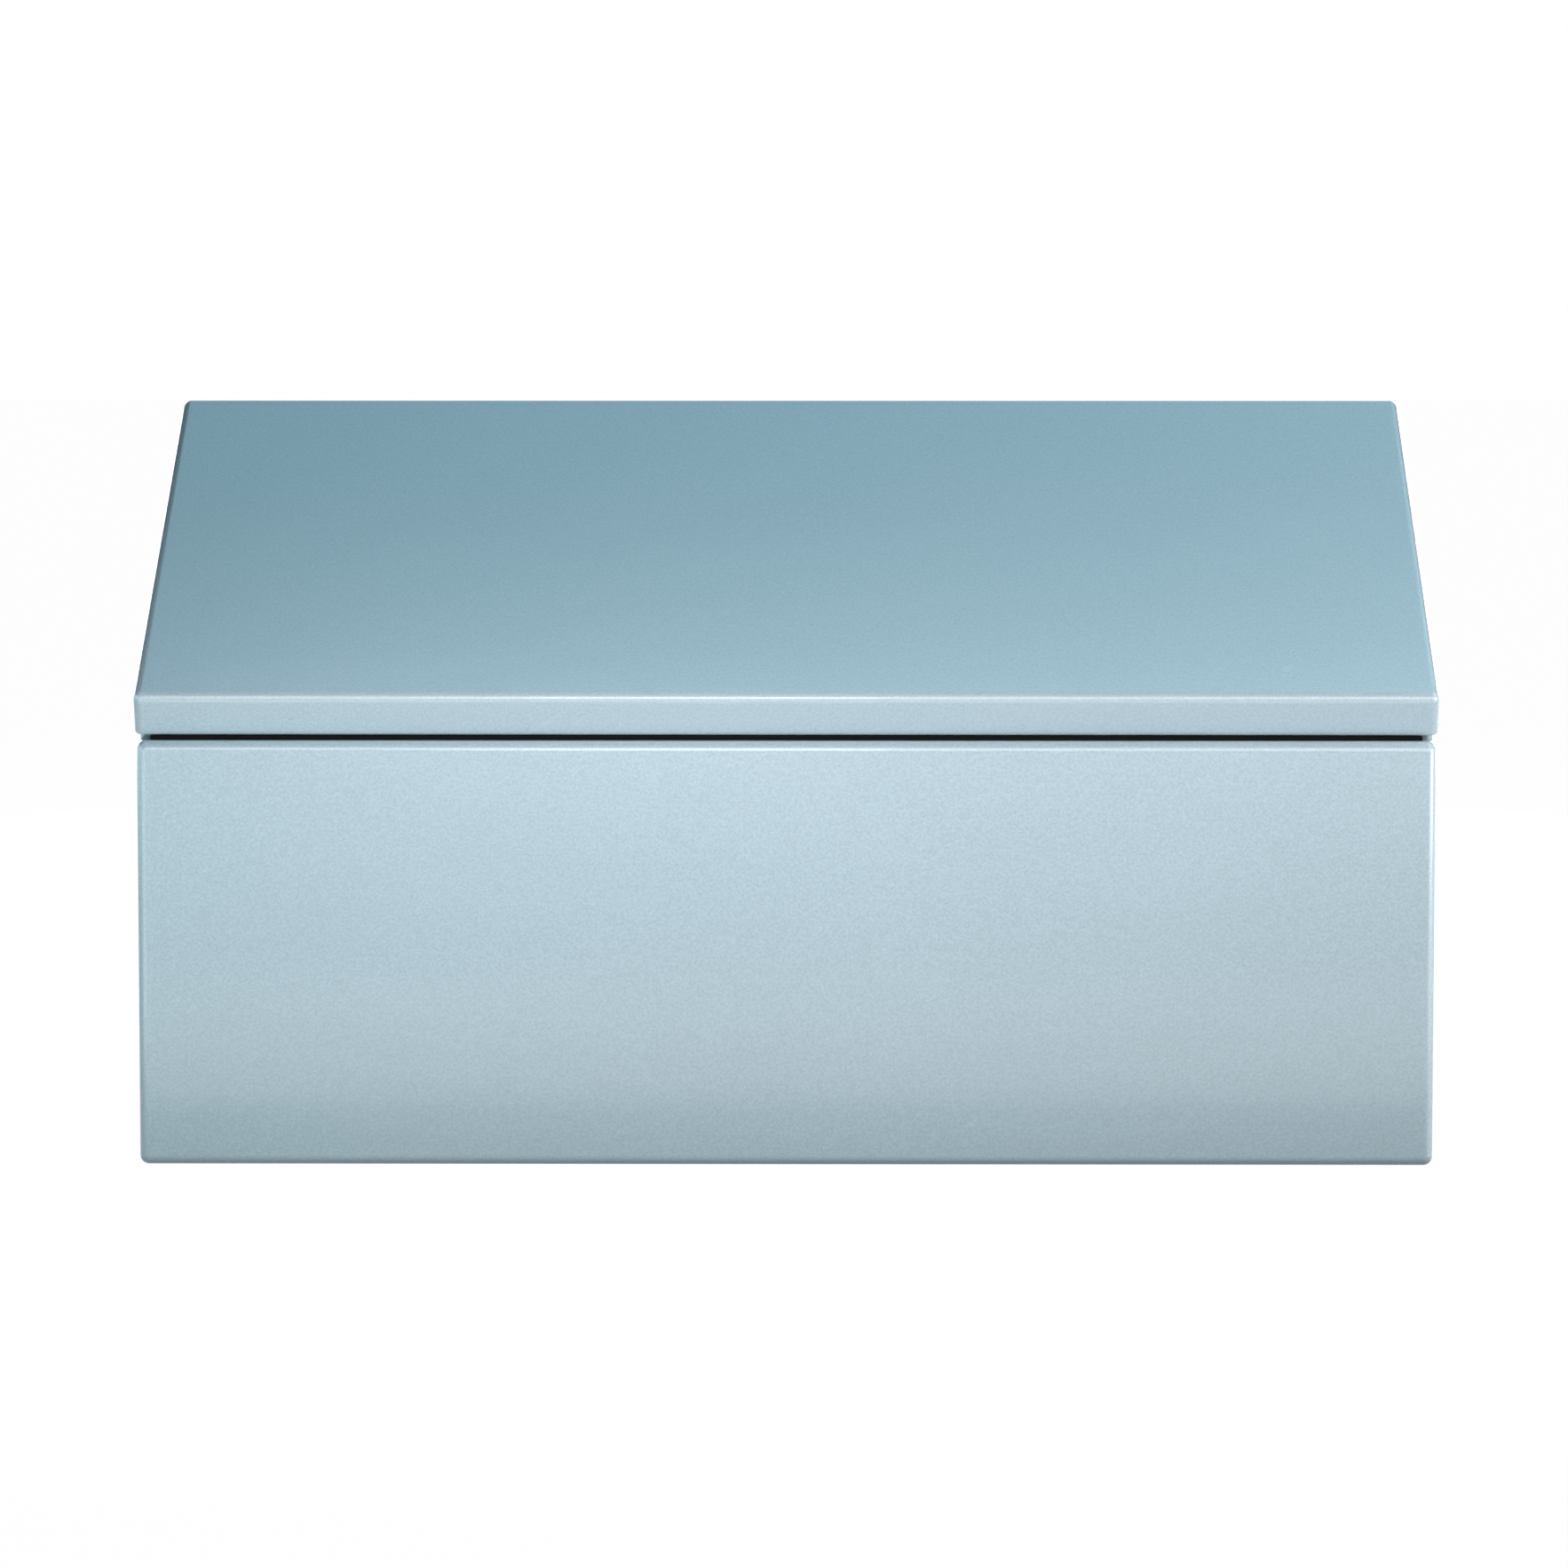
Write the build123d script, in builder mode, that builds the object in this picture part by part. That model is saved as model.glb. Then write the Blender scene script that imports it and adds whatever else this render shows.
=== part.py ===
from build123d import *
import os
from math import atan2, cos, degrees, hypot, radians, sin, tan

# Book drop box: a sheet steel case with a sloping lid, hinged along its back edge.
# +X is to the right, +Y to the back and +Z up, with the origin at the middle of the base.
# The case stands on its base or hangs by four holes in its back. Sizes are in millimetres.

# ---- Overall sizes
lid_width = 600.0
depth = 260.4  # front face to back face of the case
shelf_height = 196.6  # base to the shelf that the lid's front lip closes onto
lid_slope = 26.0  # degrees, rising to the back
lip_depth = 21.5  # front and side lips of the lid, square to its top

# ---- Sheet metal
sheet = 1.2
bend = 4.0  # outside radius of a bend
outline_bend = 4.5  # outside radius of the bends seen from the side
inner_bend = 2.8  # inside radius where the shelf turns up into the riser
side_gap = 0.3  # case side to the inside of the lid's lip
lip_gap = 1.9  # shelf to the lower edge of the front lip
rim_flange = 12.0  # flange along the top of the riser
side_flange = 15.0  # flange along the top of each side
back_flange = 22.0
bottom_flange = 15.0
window_corner = 6.0
panel_gap = 0.3  # loose panels to the bends around them
hem_height = 9.0
hem_inset = 8.0  # hem ends to the lid's front corners
edge_round = 1.05
lip_corner = 6.0  # rear corner of each side lip
lid_corner = 6.0  # rear corners of the lid's top, seen from above

# ---- Seals and pad
seal_thickness = 3.0
seal_width = 8.0
seal_gap = 0.1
front_seal_thickness = 1.8
front_seal_width = 6.5
front_seal_lead = 2.0  # front seal's edge to the lip's outer face
front_seal_end = 6.0
front_seal_gap = 0.6  # front seal to the bend at the foot of the riser
pad_thickness = 12.0
pad_margin = 16.0  # case wall to the pad
pad_corner = 24.0  # corner cut off the pad, which leaves the drain holes clear
pad_round = 3.0
drain_radius = 3.0
drain_inset = 7.0

# ---- Hinge
hinge_length = 560.0
hinge_knuckles = 21
knuckle_gap = 0.4
pin_radius = 1.95
running_gap = 0.05
leaf_width = 24.0
leaf_notch = 1.0  # clearance of a leaf around the other leaf's knuckles
barrel_gap = 0.3  # case knuckles to the underside of the lid
rear_overhang = 2.6  # lid's rear edge behind the hinge axis
swing_gap = 1.5
pin_head_radius = 2.6
pin_head_thickness = 1.2

# ---- Blind rivets, flush on the outside
rivet_radius = 1.6
rivet_gap = 0.05
rivet_head_radius = 3.1
rivet_head_depth = 0.9
rivet_bulb_radius = 2.6
rivet_bulb_height = 2.2
rivet_edge = 8.0  # rivet line to the outside of the case
back_rivet_edge = 11.0
hinge_rivet_count = 8
hinge_rivet_end = 25.0  # outer rivets to the ends of the hinge
hinge_rivet_drop = 15.0

# ---- Wall holes
wall_spacing_x = 440.0
wall_spacing_z = 200.0
wall_hole_height = 170.0  # middle of the four holes above the base
wall_hole_radius = 3.5
boss_radius = 10.0
boss_slope = 3.0

# ---- Lid stiffener
stiffener_length = 480.0
stiffener_run = 150.0  # from the lid's front edge to the stiffener's middle
stiffener_depth = 10.0
stiffener_crown = 26.0
stiffener_flange = 12.0
stiffener_bend = 2.0

# ---- Lid stays
stay_inset = 3.5  # outside of the stay to the edge of the side flange
stay_reach = 82.0  # hinge axis to the lid pivot, along the lid
stay_drop = 15.0  # lid pivot below the lid's top
stay_case_forward = 12.0
stay_case_down = 86.0
arm_width = 14.0
arm_thickness = 2.0
ear_thickness = 1.5
ear_radius = 8.0
bracket_width = 16.0
bracket_height = 32.0
bracket_rivet_pitch = 20.0
lid_bracket_length = 30.0
washer_thickness = 0.8
washer_radius = 5.5
pivot_radius = 2.5
pivot_head_radius = 4.2
pivot_head_thickness = 1.4
pivot_head_round = 0.8

# ---- Worked out from the sizes above
slope = radians(lid_slope)
front = -depth / 2
back = depth / 2
case_width = lid_width - 2 * (sheet + side_gap)
case_half = case_width / 2

corner_y = front - bend * (cos(slope) + sin(slope) - 1)
corner_z = shelf_height + lip_gap + lip_depth * cos(slope)
front_seal_y = corner_y + lip_depth * sin(slope) - front_seal_lead
riser_y = front_seal_y + front_seal_width + front_seal_gap + inner_bend
lid_plane = Plane(origin=(0, corner_y, corner_z), x_dir=(1, 0, 0), z_dir=(0, -sin(slope), cos(slope)))
lid_section = Plane(origin=lid_plane.origin, x_dir=lid_plane.y_dir, z_dir=(1, 0, 0))
rim_drop = sheet + seal_thickness + seal_gap

panel_back = back - sheet
panel_front = panel_back - sheet
barrel_radius = pin_radius + running_gap + sheet
hinge_y = panel_front - barrel_radius
hinge_drop = sheet + barrel_gap + barrel_radius


def slope_run(y, drop):
    """Distance up the lid from its front edge to the point at y that lies drop below its top."""
    return (y - corner_y - drop * sin(slope)) / cos(slope)


def slope_height(y, drop):
    """Height at y of the plane that lies drop below the lid's top."""
    return corner_z + (y - corner_y) * tan(slope) - drop / cos(slope)


def slope_point(run, drop):
    """(y, z) of the point run up the lid and drop below its top."""
    return (
        corner_y + run * cos(slope) + drop * sin(slope),
        corner_z + run * sin(slope) - drop * cos(slope),
    )


hinge_run = slope_run(hinge_y, hinge_drop)
hinge_z = slope_height(hinge_y, hinge_drop)
lid_length = hinge_run + rear_overhang
relief_radius = hypot(rear_overhang, hinge_drop) + swing_gap

window_half = case_half - side_flange
panel_half = case_half - bend - panel_gap
panel_low = outline_bend + panel_gap
panel_top = hinge_z - relief_radius
knuckle_pitch = hinge_length / hinge_knuckles
knuckle_length = knuckle_pitch - knuckle_gap

base_plane = Plane.XY
back_plane = Plane(origin=(0, back, 0), x_dir=(1, 0, 0), z_dir=(0, -1, 0))
hinge_plane = Plane(origin=(0, hinge_y, hinge_z), x_dir=(0, 1, 0), z_dir=(1, 0, 0))


def spread(first, last, count):
    """Evenly spaced positions, both ends included."""
    return [first + (last - first) * i / (count - 1) for i in range(count)]


# Rivet places: (x, z) on the back plane and (x, y) on the base plane
back_rivet_x = case_half - back_rivet_edge
back_rivet_low = back_rivet_edge
back_rivet_high = panel_top - back_rivet_edge
back_rivet_places = [
    (x, z) for x in (-back_rivet_x, back_rivet_x) for z in spread(back_rivet_low, back_rivet_high, 5)
]
back_rivet_places += [(x, back_rivet_low) for x in spread(-back_rivet_x, back_rivet_x, 6)[1:-1]]

bottom_rivet_x = case_half - rivet_edge
bottom_rivet_y = back - rivet_edge
bottom_rivet_places = [
    (x, y) for x in spread(-bottom_rivet_x, bottom_rivet_x, 6) for y in (-bottom_rivet_y, bottom_rivet_y)
]
bottom_rivet_places += [
    (x, y) for x in (-bottom_rivet_x, bottom_rivet_x) for y in (-bottom_rivet_y / 3, bottom_rivet_y / 3)
]

hinge_rivet_x = hinge_length / 2 - hinge_rivet_end
hinge_rivet_places = [
    (x, hinge_z - hinge_rivet_drop) for x in spread(-hinge_rivet_x, hinge_rivet_x, hinge_rivet_count)
]
wall_hole_places = [
    (x, wall_hole_height + z)
    for x in (-wall_spacing_x / 2, wall_spacing_x / 2)
    for z in (-wall_spacing_z / 2, wall_spacing_z / 2)
]

# Stay planes, from the outside inwards, and its three pivots as (y, z)
ear_outside = window_half - stay_inset
ear_inside = ear_outside - ear_thickness
lower_arm_outside = ear_inside - washer_thickness
lower_arm_inside = lower_arm_outside - arm_thickness
upper_arm_outside = lower_arm_inside - washer_thickness
upper_arm_inside = upper_arm_outside - arm_thickness
lid_ear_outside = lower_arm_inside + ear_thickness

lid_pivot = slope_point(hinge_run - stay_reach, stay_drop)
case_pivot = (hinge_y - stay_case_forward, hinge_z - stay_case_down)
knuckle_pivot = (lid_pivot[0] + case_pivot[0] - hinge_y, lid_pivot[1] + case_pivot[1] - hinge_z)
bracket_rivet_places = [
    (side * (ear_outside - bracket_width / 2 - ear_thickness), case_pivot[1] + z)
    for side in (-1, 1)
    for z in (-bracket_rivet_pitch / 2, bracket_rivet_pitch / 2)
]


def side_plane(x):
    """Plane across the object at x, whose own axes are +Y and +Z."""
    return Plane(origin=(x, 0, 0), x_dir=(0, 1, 0), z_dir=(1, 0, 0))


def mirrored(piece):
    """The left-hand twin of a right-hand piece."""
    return mirror(piece, about=Plane.YZ)


def flush_rivets(plane, places, outer_depth, inner_sheet=sheet, clearance=0.0):
    """Blind rivets flush with the sheet that starts outer_depth inside plane, and through one more behind it.

    The plane's normal points inwards. With a clearance it is the tool that cuts their holes.
    """
    grip = sheet + inner_sheet
    shank = rivet_radius + clearance
    with BuildPart(plane.offset(outer_depth)) as rivets:
        with Locations(*places):
            Cone(
                rivet_head_radius + clearance,
                shank,
                rivet_head_depth,
                align=(Align.CENTER, Align.CENTER, Align.MIN),
            )
            Cylinder(shank, grip, align=(Align.CENTER, Align.CENTER, Align.MIN))
        if not clearance:
            with Locations(*[(x, y, grip) for x, y in places]):
                Cone(
                    rivet_bulb_radius,
                    rivet_bulb_radius * 0.7,
                    rivet_bulb_height,
                    align=(Align.CENTER, Align.CENTER, Align.MIN),
                )
    return rivets.part


def case_block(inset):
    """Closed block in the outline of the case, taken in by inset all round."""
    with BuildPart() as block:
        with BuildSketch(Plane.YZ):
            with BuildLine():
                FilletPolyline(
                    (front, 0),
                    (front, shelf_height),
                    (riser_y, shelf_height),
                    (riser_y, slope_height(riser_y, rim_drop)),
                    (back, slope_height(back, rim_drop)),
                    (back, 0),
                    radius=[outline_bend, outline_bend, inner_bend, outline_bend, outline_bend, outline_bend],
                    close=True,
                )
            make_face()
            if inset:
                offset(amount=-inset, mode=Mode.REPLACE)
        extrude(amount=case_half - inset, both=True)
        ends = block.faces().sort_by(Axis.X)
        fillet(ends[0].edges() + ends[-1].edges(), radius=bend - inset)
    return block.part


case_outside = case_block(0)
case_inside = case_block(sheet)
back_rivet_holes = flush_rivets(back_plane, back_rivet_places, 0, clearance=rivet_gap)
bottom_rivet_holes = flush_rivets(base_plane, bottom_rivet_places, 0, clearance=rivet_gap)
hinge_rivet_holes = flush_rivets(back_plane, hinge_rivet_places, sheet, clearance=rivet_gap)
bracket_rivet_holes = flush_rivets(back_plane, bracket_rivet_places, sheet, clearance=rivet_gap)

with BuildPart() as case_wrap:
    # Front and sides in one folded sheet, with flanges turned in along the rim, back and bottom.
    add(case_outside)
    add(case_inside, mode=Mode.SUBTRACT)
    window_start = slope_run(riser_y, rim_drop) + rim_flange
    with BuildSketch(lid_plane.offset(-rim_drop)):
        with Locations((0, window_start)):
            Rectangle(2 * window_half, 2 * lid_length, align=(Align.CENTER, Align.MIN))
    extrude(amount=2 * sheet, both=True, mode=Mode.SUBTRACT)
    with BuildSketch(back_plane):
        with Locations((0, back_flange)):
            RectangleRounded(
                case_width - 2 * back_flange,
                2 * hinge_z,
                window_corner,
                align=(Align.CENTER, Align.MIN),
            )
    extrude(amount=2 * sheet, mode=Mode.SUBTRACT)
    with BuildSketch(base_plane):
        RectangleRounded(2 * (case_half - bottom_flange), depth - 2 * bottom_flange, window_corner)
    extrude(amount=2 * sheet, mode=Mode.SUBTRACT)
    with Locations(hinge_plane.location):
        Cylinder(relief_radius, lid_width, mode=Mode.SUBTRACT)
    add(back_rivet_holes, mode=Mode.SUBTRACT)
    add(bottom_rivet_holes, mode=Mode.SUBTRACT)

with BuildPart() as back_panel:
    # Flat sheet behind the back flanges' inner faces, pressed out to the wall plane round each wall hole.
    with BuildSketch(back_plane.offset(sheet)):
        with Locations((0, panel_low)):
            RectangleRounded(2 * panel_half, panel_top - panel_low, bend, align=(Align.CENTER, Align.MIN))
    extrude(amount=sheet)
    with BuildSketch(back_plane):
        with Locations(*wall_hole_places):
            Circle(boss_radius)
    extrude(amount=sheet, taper=-degrees(atan2(boss_slope, sheet)))
    with BuildSketch(back_plane.offset(sheet)):
        with Locations(*wall_hole_places):
            Circle(boss_radius - boss_slope / 2)
    extrude(amount=sheet, taper=-degrees(atan2(boss_slope, sheet)), mode=Mode.SUBTRACT)
    with BuildSketch(back_plane):
        with Locations(*wall_hole_places):
            Circle(wall_hole_radius)
    extrude(amount=2 * sheet, mode=Mode.SUBTRACT)
    with BuildSketch(back_plane):
        with Locations(*back_rivet_places):
            Circle(rivet_radius + rivet_gap)
    extrude(amount=2 * sheet, mode=Mode.SUBTRACT)
    add(hinge_rivet_holes, mode=Mode.SUBTRACT)
    add(bracket_rivet_holes, mode=Mode.SUBTRACT)

with BuildPart() as bottom_panel:
    # Lies on the bottom flanges, with a drain hole near each corner.
    panel_length = depth - 2 * panel_low
    pad_half_x = case_half - sheet - pad_margin
    pad_half_y = back - sheet - pad_margin
    with BuildSketch(base_plane.offset(sheet)):
        RectangleRounded(2 * panel_half, panel_length, bend)
        with Locations(*bottom_rivet_places):
            Circle(rivet_radius + rivet_gap, mode=Mode.SUBTRACT)
        with GridLocations(2 * (pad_half_x - drain_inset), 2 * (pad_half_y - drain_inset), 2, 2):
            Circle(drain_radius, mode=Mode.SUBTRACT)
    extrude(amount=sheet)

back_rivets = flush_rivets(back_plane, back_rivet_places, 0)
bottom_rivets = flush_rivets(base_plane, bottom_rivet_places, 0)
hinge_rivet_group = flush_rivets(back_plane, hinge_rivet_places, sheet)
bracket_rivets = flush_rivets(back_plane, bracket_rivet_places, sheet, ear_thickness)

with BuildPart() as book_pad:
    # Felt-covered foam that books land on.
    with BuildSketch(base_plane.offset(2 * sheet)) as pad_outline:
        Rectangle(2 * pad_half_x, 2 * pad_half_y)
        chamfer(pad_outline.vertices(), pad_corner)
    extrude(amount=pad_thickness)
    fillet(book_pad.faces().sort_by(Axis.Z)[-1].edges(), radius=pad_round)

with BuildPart() as front_seal:
    # Flat rubber strip on the shelf, under the lower edge of the lid's front lip.
    with BuildSketch(base_plane.offset(shelf_height)):
        with Locations((0, front_seal_y)):
            Rectangle(case_width - 2 * front_seal_end, front_seal_width, align=(Align.CENTER, Align.MIN))
    extrude(amount=front_seal_thickness)

with BuildPart() as side_seal:
    # Foam strip on a side flange, which the lid's underside closes onto.
    seal_start = slope_run(riser_y, rim_drop) + outline_bend
    seal_length = hinge_run - relief_radius - seal_gap - seal_start
    seal_x = (window_half + case_half - bend) / 2
    with BuildSketch(lid_plane.offset(-rim_drop)):
        with Locations((seal_x, seal_start)):
            Rectangle(seal_width, seal_length, align=(Align.CENTER, Align.MIN))
    extrude(amount=seal_thickness)


def lid_block(inset, overrun):
    """Block in the lid's outline, taken in by inset on its top, front and sides.

    It runs past the lid by overrun at the rear and below.
    """
    with BuildPart() as block:
        with BuildSketch(lid_plane.offset(-inset)):
            with Locations((0, inset)):
                Rectangle(
                    lid_width - 2 * inset,
                    lid_length - inset + overrun,
                    align=(Align.CENTER, Align.MIN),
                )
        extrude(amount=-(lip_depth - inset + overrun))
        up_slope = Axis(lid_plane.origin, lid_plane.y_dir)
        outwards = Axis(lid_plane.origin, lid_plane.z_dir)
        top_edges = block.faces().sort_by(outwards)[-1].edges().sort_by(up_slope)[:-1]
        front_corners = block.edges().filter_by(outwards).sort_by(up_slope)[:2]
        fillet(top_edges + front_corners, radius=bend - inset)
    return block.part


lid_outside = lid_block(0, 0)
lid_inside = lid_block(sheet, 2 * bend)

with BuildPart() as lid_shell:
    # Folded lid: top, front lip with a hemmed edge, and two side lips outside the case's sides.
    add(lid_outside)
    add(lid_inside, mode=Mode.SUBTRACT)
    with BuildSketch(lid_plane.offset(-lip_depth)):
        with Locations((0, sheet)):
            Rectangle(lid_width - 2 * (bend + hem_inset), sheet, align=(Align.CENTER, Align.MIN))
    extrude(amount=hem_height)
    lower_edges = lid_shell.edges().filter_by(Axis.X).filter_by(lambda edge: edge.length > hinge_length)
    lower_edges = lower_edges.sort_by(Axis(lid_plane.origin, lid_plane.z_dir))[:2]
    fillet(lower_edges, radius=edge_round)
    # Cut the side lips off upright at the back, with a rounded lower corner
    trim_y = slope_point(lid_length, sheet)[0]
    trim_start = slope_point(slope_run(trim_y, lip_depth) - 2 * lip_corner, lip_depth)
    trim_low = trim_start[1] - lip_corner
    trim_high = corner_z + 2 * lid_length
    with BuildSketch(Plane.YZ):
        with BuildLine():
            FilletPolyline(
                trim_start,
                (trim_y, slope_height(trim_y, lip_depth)),
                (trim_y, trim_high),
                radius=lip_corner,
            )
            Polyline(
                (trim_y, trim_high),
                (back + lip_depth, trim_high),
                (back + lip_depth, trim_low),
                (trim_start[0], trim_low),
                trim_start,
            )
        make_face()
    extrude(amount=lid_width, both=True, mode=Mode.SUBTRACT)
    # Round the two rear corners of the top and the ends of the side lips below them
    with BuildSketch(lid_plane):
        with Locations((0, slope_run(trim_y, 0))):
            Rectangle(lid_width + 2 * lid_corner, 2 * lid_corner)
            RectangleRounded(
                lid_width, 4 * lid_corner, lid_corner, align=(Align.CENTER, Align.MAX), mode=Mode.SUBTRACT
            )
    extrude(amount=-lip_depth, mode=Mode.SUBTRACT)

with BuildPart() as lid_stiffener:
    # Hat-section channel spot-welded across the underside of the lid.
    flange_line = -1.5 * sheet
    crown_line = flange_line - stiffener_depth
    half_crown = stiffener_crown / 2
    half_width = half_crown + stiffener_flange
    with BuildSketch(lid_section):
        with BuildLine():
            FilletPolyline(
                (stiffener_run - half_width, flange_line),
                (stiffener_run - half_crown, flange_line),
                (stiffener_run - half_crown, crown_line),
                (stiffener_run + half_crown, crown_line),
                (stiffener_run + half_crown, flange_line),
                (stiffener_run + half_width, flange_line),
                radius=stiffener_bend,
            )
        trace(line_width=sheet)
    extrude(amount=stiffener_length / 2, both=True)

# Knuckle middles along X: the case leaf has the first, the third and so on
knuckle_middles = [knuckle_pitch * (i - (hinge_knuckles - 1) / 2) for i in range(hinge_knuckles)]
case_knuckles = knuckle_middles[0::2]
lid_knuckles = knuckle_middles[1::2]


def barrel(middles, bore):
    """Hinge knuckles, as tubes round the hinge axis."""
    with BuildPart(hinge_plane) as tubes:
        with Locations(*[(0, 0, x) for x in middles]):
            Cylinder(barrel_radius, knuckle_length)
        with Locations((0, 0, 0)):
            Cylinder(bore, hinge_length, mode=Mode.SUBTRACT)
    return tubes.part


def knuckle_notches(plane, middles):
    """Boxes round some knuckles, by which the other leaf clears them."""
    with BuildPart(plane) as notches:
        with Locations(*[(0, 0, x) for x in middles]):
            Box(
                2 * (barrel_radius + leaf_notch),
                2 * (barrel_radius + leaf_notch),
                knuckle_length + 2 * knuckle_gap,
            )
    return notches.part


knuckle_bore = pin_radius + running_gap
lid_hinge_plane = Plane(origin=hinge_plane.origin, x_dir=lid_plane.y_dir, z_dir=(1, 0, 0))
case_barrel = barrel(case_knuckles, knuckle_bore)
lid_barrel = barrel(lid_knuckles, knuckle_bore)
case_leaf_notches = knuckle_notches(hinge_plane, lid_knuckles)
lid_leaf_notches = knuckle_notches(lid_hinge_plane, case_knuckles)

with BuildPart() as hinge_case_leaf:
    with BuildSketch(hinge_plane):
        with Locations((barrel_radius, 0)):
            Rectangle(sheet, leaf_width, align=(Align.MAX, Align.MAX))
    extrude(amount=hinge_length / 2 - knuckle_gap / 2, both=True)
    add(case_leaf_notches, mode=Mode.SUBTRACT)
    add(case_barrel)
    with Locations(hinge_plane.location):
        Cylinder(knuckle_bore, hinge_length, mode=Mode.SUBTRACT)
    with BuildSketch(back_plane):
        with Locations(*hinge_rivet_places):
            Circle(rivet_radius + rivet_gap)
    extrude(amount=4 * sheet, mode=Mode.SUBTRACT)

with BuildPart() as hinge_lid_leaf:
    with BuildSketch(lid_section):
        with Locations((hinge_run, -sheet)):
            Rectangle(leaf_width, sheet, align=(Align.MAX, Align.MAX))
    extrude(amount=hinge_length / 2 - knuckle_gap / 2, both=True)
    add(lid_leaf_notches, mode=Mode.SUBTRACT)
    add(lid_barrel)
    with Locations(hinge_plane.location):
        Cylinder(knuckle_bore, hinge_length, mode=Mode.SUBTRACT)

with BuildPart(hinge_plane) as hinge_pin:
    pin_half = hinge_length / 2
    Cylinder(pin_radius, hinge_length)
    with Locations((0, 0, pin_half), (0, 0, -pin_half - pin_head_thickness)):
        Cylinder(pin_head_radius, pin_head_thickness, align=(Align.CENTER, Align.CENTER, Align.MIN))


def stay_arm(x, start, end):
    """Flat arm with rounded ends and a pivot hole at each end, its outer face at x."""
    run = end[0] - start[0]
    rise = end[1] - start[1]
    middle = (start[0] + run / 2, start[1] + rise / 2)
    with BuildPart() as arm:
        with BuildSketch(side_plane(x)):
            with Locations(middle):
                SlotCenterToCenter(hypot(run, rise), arm_width, rotation=degrees(atan2(rise, run)))
            with Locations(start, end):
                Circle(pivot_radius + running_gap, mode=Mode.SUBTRACT)
        extrude(amount=-arm_thickness)
    return arm.part


def pivot_rivet(place, inside, outside):
    """Shoulder rivet with a rounded head at each end, through the pieces between inside and outside."""
    with BuildPart() as rivet:
        with BuildSketch(side_plane(inside)):
            with Locations(place):
                Circle(pivot_radius)
        extrude(amount=outside - inside)
        with BuildSketch(side_plane(outside)):
            with Locations(place):
                Circle(pivot_head_radius)
        extrude(amount=pivot_head_thickness)
        with BuildSketch(side_plane(inside)):
            with Locations(place):
                Circle(pivot_head_radius)
        extrude(amount=-pivot_head_thickness)
        crowns = rivet.faces().filter_by(Axis.X).sort_by(Axis.X)
        fillet(crowns[0].edges() + crowns[-1].edges(), radius=pivot_head_round)
    return rivet.part


def stay_washer(place, inside):
    """Nylon washer between two moving pieces."""
    with BuildPart() as washer:
        with BuildSketch(side_plane(inside)):
            with Locations(place):
                Circle(washer_radius)
                Circle(pivot_radius + running_gap, mode=Mode.SUBTRACT)
        extrude(amount=washer_thickness)
    return washer.part


with BuildPart() as stay_case_bracket:
    # Angle bracket on the back panel, with an ear that carries the lower arm.
    with BuildSketch(side_plane(ear_outside)):
        with Locations(case_pivot):
            Rectangle(panel_front - case_pivot[0], 2 * ear_radius, align=(Align.MIN, Align.CENTER))
            Circle(ear_radius)
            Circle(pivot_radius + running_gap, mode=Mode.SUBTRACT)
    extrude(amount=-ear_thickness)
    with BuildSketch(Plane.XZ.offset(-panel_front)):
        with Locations((ear_outside, case_pivot[1])):
            Rectangle(bracket_width + ear_thickness, bracket_height, align=(Align.MAX, Align.CENTER))
    extrude(amount=ear_thickness)
    with BuildSketch(back_plane):
        with Locations(*[place for place in bracket_rivet_places if place[0] > 0]):
            Circle(rivet_radius + rivet_gap)
    extrude(amount=4 * sheet, mode=Mode.SUBTRACT)

with BuildPart() as stay_lid_bracket:
    # Angle bracket spot-welded under the lid, with an ear that carries the upper arm.
    ear_run = hinge_run - stay_reach
    with BuildSketch(lid_section.offset(lid_ear_outside)):
        with Locations((ear_run, -stay_drop)):
            Rectangle(2 * ear_radius, stay_drop - sheet, align=(Align.CENTER, Align.MIN))
            Circle(ear_radius)
            Circle(pivot_radius + running_gap, mode=Mode.SUBTRACT)
    extrude(amount=-ear_thickness)
    with BuildSketch(lid_plane.offset(-sheet)):
        with Locations((lid_ear_outside, ear_run)):
            Rectangle(bracket_width, lid_bracket_length, align=(Align.MAX, Align.CENTER))
    extrude(amount=-ear_thickness)

stay_lower_arm = stay_arm(lower_arm_outside, case_pivot, knuckle_pivot)
stay_upper_arm = stay_arm(upper_arm_outside, lid_pivot, knuckle_pivot)
stay_case_pivot = pivot_rivet(case_pivot, lower_arm_inside, ear_outside)
stay_lid_pivot = pivot_rivet(lid_pivot, upper_arm_inside, lid_ear_outside)
stay_knuckle_pivot = pivot_rivet(knuckle_pivot, upper_arm_inside, lower_arm_outside)
stay_case_washer = stay_washer(case_pivot, lower_arm_outside)
stay_lid_washer = stay_washer(lid_pivot, upper_arm_outside)
stay_knuckle_washer = stay_washer(knuckle_pivot, upper_arm_outside)

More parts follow.
